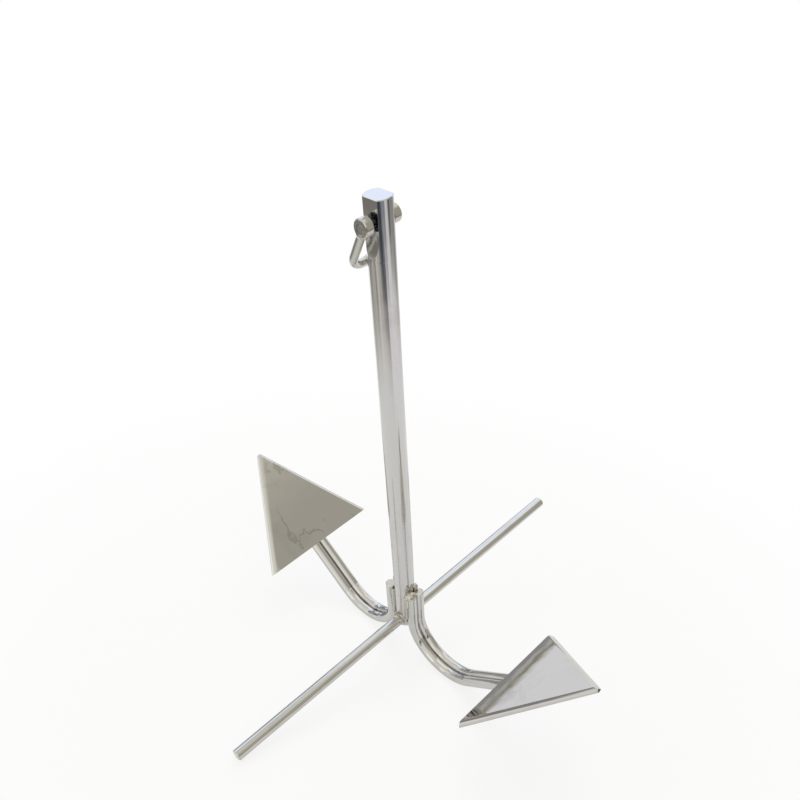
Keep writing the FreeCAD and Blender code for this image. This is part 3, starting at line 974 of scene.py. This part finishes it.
# The room round the anchor, as patches laid one over another: the middle azimuth, half the width,
# the lowest and highest elevation and the softness of the edges in degrees, and the light.
roomPatches = {
    "lowerHalf": (0, 180, -90, -10, 5, (0.68, 0.67, 0.65)),
    "paleSweep": (42, 58, -62, -22, 5, (0.92, 0.91, 0.92)),
    "greyScreen": (47, 50, -18, 60, 5, (0.50, 0.48, 0.42)),
    "darkEdge": (58, 26, -19, -9, 3, (0.34, 0.34, 0.34)),
    "blackEdge": (38, 9, -20, -11, 2, (0.15, 0.15, 0.15)),
    "greyEdge": (70, 14, -4, 20, 5, (0.33, 0.32, 0.30)),
    "stripLight": (90, 8, 2, 58, 3, (1.15, 1.16, 1.13)),
    "upperHalf": (0, 180, 55, 100, 5, (0.80, 0.78, 0.68)),
    "topSweep": (105, 48, 60, 84, 6, (1.15, 1.17, 1.12)),
    "topLight": (116, 20, 60, 80, 6, (1.30, 1.35, 1.30)),
    "blueLight": (148, 34, 3, 50, 5, (1.12, 1.25, 1.48)),
    "darkPost": (173, 17, -2, 22, 3, (0.29, 0.28, 0.28)),
    "darkBar": (158, 12, 4, 12, 2, (0.20, 0.19, 0.19)),
    "paleScreen": (148, 8, -9, 3, 3, (0.92, 0.93, 0.97)),
    "brightSweep": (140, 36, -62, -14, 6, (1.20, 1.20, 1.18)),
    "midScreen": (-165, 15, -14, 12, 5, (0.52, 0.50, 0.47)),
    "smallLight": (-128, 12, -6, 12, 4, (1.25, 1.24, 1.16)),
    "warmLight": (-82, 15, -16, 30, 5, (1.38, 1.33, 1.13)),
    "coolScreen": (-105, 8, -2, 14, 3, (0.82, 0.82, 0.83)),
    "dimPost": (-162, 19, 9, 27, 3, (0.30, 0.30, 0.30)),
    "darkScreen": (-25, 16, -12, 20, 5, (0.26, 0.26, 0.28)),
    "midSweep": (-90, 75, -43, -14, 5, (0.55, 0.53, 0.49)),
    "greyLine": (-107, 6, -46, -14, 3, (0.36, 0.35, 0.32)),
    "paleLine": (-86, 6, -46, -14, 3, (0.72, 0.70, 0.63)),
    "darkSweep": (-112, 58, -32, -14, 4, (0.24, 0.23, 0.21)),
    "dimSweep": (-12, 18, -29, -12, 4, (0.27, 0.28, 0.32)),
    "blackScreen": (-40, 20, -37, 8, 4, (0.13, 0.14, 0.17)),
    "blackCore": (-38, 7, -34, 5, 4, (0.04, 0.05, 0.07)),
}


# The two heights on the unit sphere between which a patch fades at an elevation. A patch that
# reaches a pole doesn't fade there, so both heights then lie beyond the sphere.
def fade(elevation, softness):
    if abs(elevation) >= 90:
        return (1.1, 1.2) if elevation > 0 else (-1.2, -1.1)
    return [math.sin(math.radians(elevation + offset)) for offset in (-softness, softness)]


# White to the camera, and the room to everything else. A direction lies in a patch if its height
# is between the patch's two, and if the cosine of its azimuth from the patch's middle is high
# enough. A slow noise bends the directions first, so that the edges of the patches stray.
def makeWorld():
    world = bpy.data.worlds.new("studio")
    bpy.context.scene.world = world
    tree = Tree(world)
    straight = tree.add("ShaderNodeTexCoord").outputs["Generated"]
    drift = tree.add("ShaderNodeTexNoise", None, {"Vector": straight, "Scale": room["waveScale"]})
    centred = tree.vector("SUBTRACT", drift.outputs["Color"], (0.5, 0.5, 0.5))
    shift = tree.vector("MULTIPLY", centred, (room["waviness"],) * 3)
    direction = tree.vector("NORMALIZE", tree.vector("ADD", straight, shift))
    parts = tree.add("ShaderNodeSeparateXYZ", None, {"Vector": direction})
    x, y, z = (tree.level(parts.outputs[axis]) for axis in "XYZ")
    level = (x * x + y * y).larger(1e-6).root()
    colour = room["light"]
    for azimuth, halfWidth, low, high, softness, light in roomPatches.values():
        middle = math.radians(azimuth)
        inside = z.above(*fade(low, softness)) * (1.0 - z.above(*fade(high, softness)))
        if halfWidth < 180:
            towards = (x * math.cos(middle) + y * math.sin(middle)) / level
            outer = math.cos(math.radians(halfWidth + softness))
            inner = math.cos(math.radians(max(halfWidth - softness, 0.0)))
            inside = inside * towards.above(outer, inner)
        colour = tree.blend(inside, colour, light)
    path = tree.add("ShaderNodeLightPath")
    seen = tree.blend(tree.level(path.outputs["Is Camera Ray"]), colour, (1.0, 1.0, 1.0))
    background = tree.add("ShaderNodeBackground", None, {"Color": seen, "Strength": 1.0})
    tree.add("ShaderNodeOutputWorld", None, {"Surface": background.outputs[0]})


# A grey card that only the polished metal sees: four corners (m), the softness of its edges as a
# share of its sides, and its light.
cardBehindStock = {
    "corners": ((-0.10, 0.04, 0.003), (-0.10, 0.48, 0.003), (-0.10, 0.48, 0.137), (-0.10, 0.04, 0.060)),
    "softness": 0.02,
    "light": (0.34, 0.34, 0.34),
}


# One face, grey inside and clear at its edges, which mirror rays alone see.
def makeCard():
    mesh = bpy.data.meshes.new("behindStock")
    mesh.from_pydata(cardBehindStock["corners"], [], [(0, 1, 2, 3)])
    layer = mesh.uv_layers.new(name="card")
    for corner, place in zip(layer.data, ((0, 0), (1, 0), (1, 1), (0, 1))):
        corner.uv = place
    card = addObject("behindStock", mesh)
    for ray in ("camera", "diffuse", "transmission", "volume_scatter", "shadow"):
        setattr(card, "visible_" + ray, False)
    material = bpy.data.materials.new("behindStock")
    tree = Tree(material)
    place = tree.add("ShaderNodeTexCoord").outputs["UV"]
    parts = tree.add("ShaderNodeSeparateXYZ", None, {"Vector": place})
    u, v = (tree.level(parts.outputs[axis]) for axis in "XY")
    inside = u.smaller(1.0 - u).smaller(v.smaller(1.0 - v)).above(0.0, cardBehindStock["softness"])
    grey = tree.add("ShaderNodeEmission", None, {"Color": cardBehindStock["light"], "Strength": 1.0})
    whole = tree.mix(inside, tree.add("ShaderNodeBsdfTransparent"), grey)
    tree.add("ShaderNodeOutputMaterial", None, {"Surface": whole.outputs[0]})
    mesh.materials.append(material)


makeFloor()
makeWorld()
makeCard()
print("studio made")

photoCamera = {
    "place": (576.6, -533.8, 1006.1),   # in the anchor's own frame
    "yaw": math.radians(49.81),
    "pitch": math.radians(46.97),
    "roll": math.radians(-5.8),
    "imagePixels": 800,
    "focalPixels": 772.1,
    "centrePixel": (377.8, 547.2),      # where the lens's axis meets the photograph
    "sensor": 36.0,
}


# A camera with the photograph's place, heading, lens and framing, worked out in the anchor's frame.
def makeCamera():
    view = photoCamera
    yaw, pitch, roll = view["yaw"], view["pitch"], view["roll"]
    right = np.array([math.cos(yaw), math.sin(yaw), 0.0])
    ahead = np.array([-math.sin(yaw) * math.cos(pitch), math.cos(yaw) * math.cos(pitch), -math.sin(pitch)])
    up = np.cross(right, ahead)
    right, up = (math.cos(roll) * right + math.sin(roll) * up, -math.sin(roll) * right + math.cos(roll) * up)
    axes = np.stack([right, up, -ahead]) @ turn
    data = bpy.data.cameras.new("photoCamera")
    pixels = view["imagePixels"]
    data.sensor_width = view["sensor"]
    data.lens = view["sensor"] * view["focalPixels"] / pixels
    data.shift_x = (pixels / 2 - view["centrePixel"][0]) / pixels
    data.shift_y = (view["centrePixel"][1] - pixels / 2) / pixels
    data.clip_start = 0.01
    camera = addObject("photoCamera", data)
    matrix = Matrix([list(row) for row in axes.T]).to_4x4()
    matrix.translation = standUp(np.array(view["place"]))
    camera.matrix_world = matrix
    bpy.context.scene.camera = camera


makeCamera()

keyLamp = {
    "place": (-1.2, 1.0, 2.2),
    "target": (0.0, 0.0, 0.2),
    "size": (1.6, 1.2),
    "power": 12.0,
    "colour": (0.96, 0.98, 1.0),
}


# A soft rectangular lamp that faces its target. Mirrors don't show it.
def makeLamp():
    light = bpy.data.lights.new("keyLamp", "AREA")
    light.shape = "RECTANGLE"
    light.size, light.size_y = keyLamp["size"]
    light.energy = keyLamp["power"]
    light.color = keyLamp["colour"]
    lamp = addObject("keyLamp", light)
    lamp.location = keyLamp["place"]
    lamp.visible_camera = False
    lamp.visible_glossy = False
    ahead = np.subtract(keyLamp["target"], keyLamp["place"])
    ahead /= np.linalg.norm(ahead)
    side = np.cross(ahead, (0.0, 0.0, 1.0))
    side /= np.linalg.norm(side)
    over = np.cross(side, ahead)
    lamp.rotation_euler = Matrix([list(row) for row in np.stack([side, over, -ahead]).T]).to_euler()


makeLamp()
print("camera and lamp made")

bpy.context.scene.view_settings.view_transform = "Standard"
